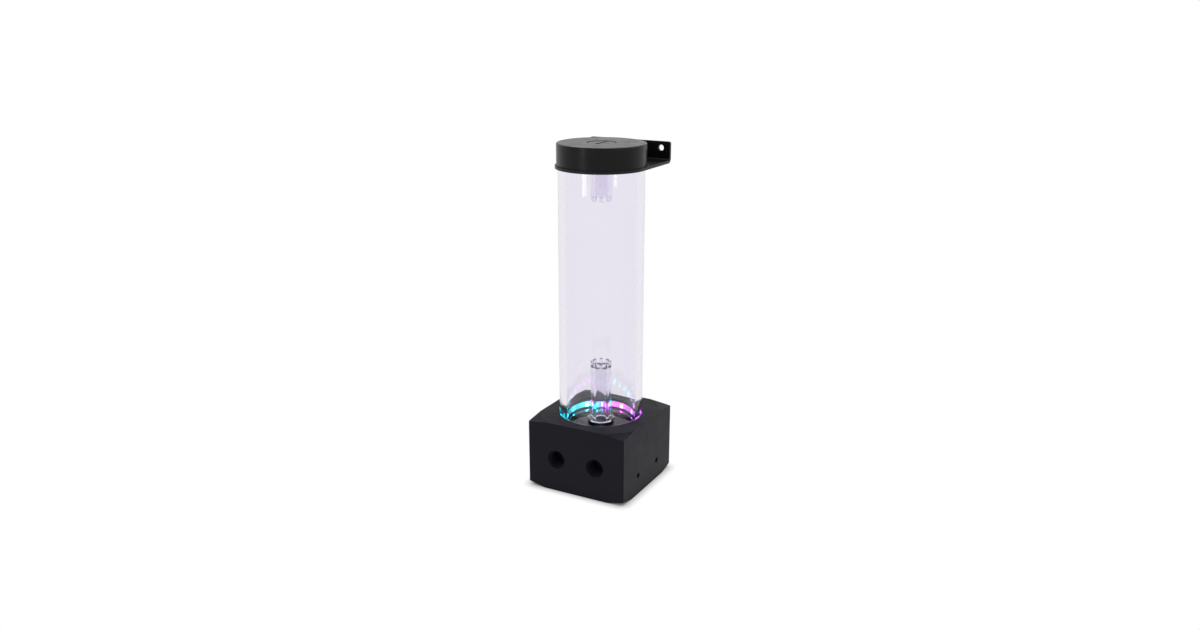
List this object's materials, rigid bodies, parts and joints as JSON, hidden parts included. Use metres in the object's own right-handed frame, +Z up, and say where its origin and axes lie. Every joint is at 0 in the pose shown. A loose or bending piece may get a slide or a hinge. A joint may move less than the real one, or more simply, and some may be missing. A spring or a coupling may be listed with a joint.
{
  "type": "coolant pump reservoir",
  "caption": "Clear tube coolant reservoir on a square block with a built-in circulation pump, threaded ports, light ring, screw cap and sheet bracket.",
  "frame": {"origin": "centre of the underside of the base block, on the tube's axis", "axes": "+Z up along the tube, -Y out of the two ports, +Y towards the wall bracket's plate"},
  "size_m": [0.0764, 0.0816, 0.2454],
  "materials": {
    "black_acetal": "satin, machined",
    "black_anodised": "satin, turned and anodised black",
    "black_coated_sheet": "satin powder coat",
    "clear_acrylic": "polished, clear",
    "black_rubber": "smooth",
    "housing_plastic": "moulded, fine grain",
    "circuit_board": "solder mask",
    "electrical_steel": "stacked laminations",
    "copper_winding": "enamelled wire",
    "natural_plastic": "moulded",
    "ceramic": "ground",
    "ferrite": "sintered",
    "carbon": "pressed carbon",
    "light_strip_film": "white flexible film",
    "light_chip": "lit",
    "zinc_steel": "zinc plated"
  },
  "bodies": {
    "block": {"base_block": "black_acetal", "bottom_plate": "black_anodised", "plate_screws": "zinc_steel", "pump_pad": "black_rubber", "pump_housing": "housing_plastic", "pump_board": "circuit_board", "stator_core": "electrical_steel", "stator_coils": "copper_winding", "motor_can": "natural_plastic", "pump_seal": "black_rubber", "pump_shaft": "ceramic", "light_strip": "light_strip_film", "light_chips": "light_chip", "light_disc": "clear_acrylic", "disc_seal": "black_rubber", "foot_seal": "black_rubber", "reservoir_tube": "clear_acrylic", "riser_tube": "clear_acrylic", "riser_seal": "black_rubber", "wall_bracket": "black_coated_sheet", "cable_grommet": "black_rubber"},
    "rotor": {"impeller": "natural_plastic", "rotor_magnet": "ferrite", "rotor_bearing": "carbon"},
    "cap_seat": {"cap_seal": "black_rubber"},
    "cap": {"cap": "black_anodised", "down_tube": "clear_acrylic", "down_tube_seal": "black_rubber"},
    "plug_seat": {"plug_seal": "black_rubber"},
    "plug": {"filler_plug": "black_anodised"}
  },
  "joints": [
    {"name": "impeller_spin", "type": "hinge", "parent": "block", "child": "rotor", "pos_m": [0, 0.004, 0.0219], "axis": [0, 0, 1], "continuous": true},
    {"name": "cap_turn", "type": "hinge", "parent": "block", "child": "cap_seat", "pos_m": [0, 0, 0.2303], "axis": [0, 0, 1], "range_deg": [0, 2160]},
    {"name": "cap_lift", "type": "slide", "parent": "cap_seat", "child": "cap", "axis": [0, 0, 1], "range_m": [0, 0.009]},
    {"name": "plug_turn", "type": "hinge", "parent": "cap", "child": "plug_seat", "pos_m": [0, 0, 0.2421], "axis": [0, 0, 1], "range_deg": [0, 1346]},
    {"name": "plug_lift", "type": "slide", "parent": "plug_seat", "child": "plug", "axis": [0, 0, 1], "range_m": [0, 0.005]}
  ],
  "couplings": [
    {"joint": "cap_lift", "follows": "cap_turn", "m_per_rad": 0.0002387},
    {"joint": "plug_lift", "follows": "plug_turn", "m_per_rad": 0.00021279}
  ]
}
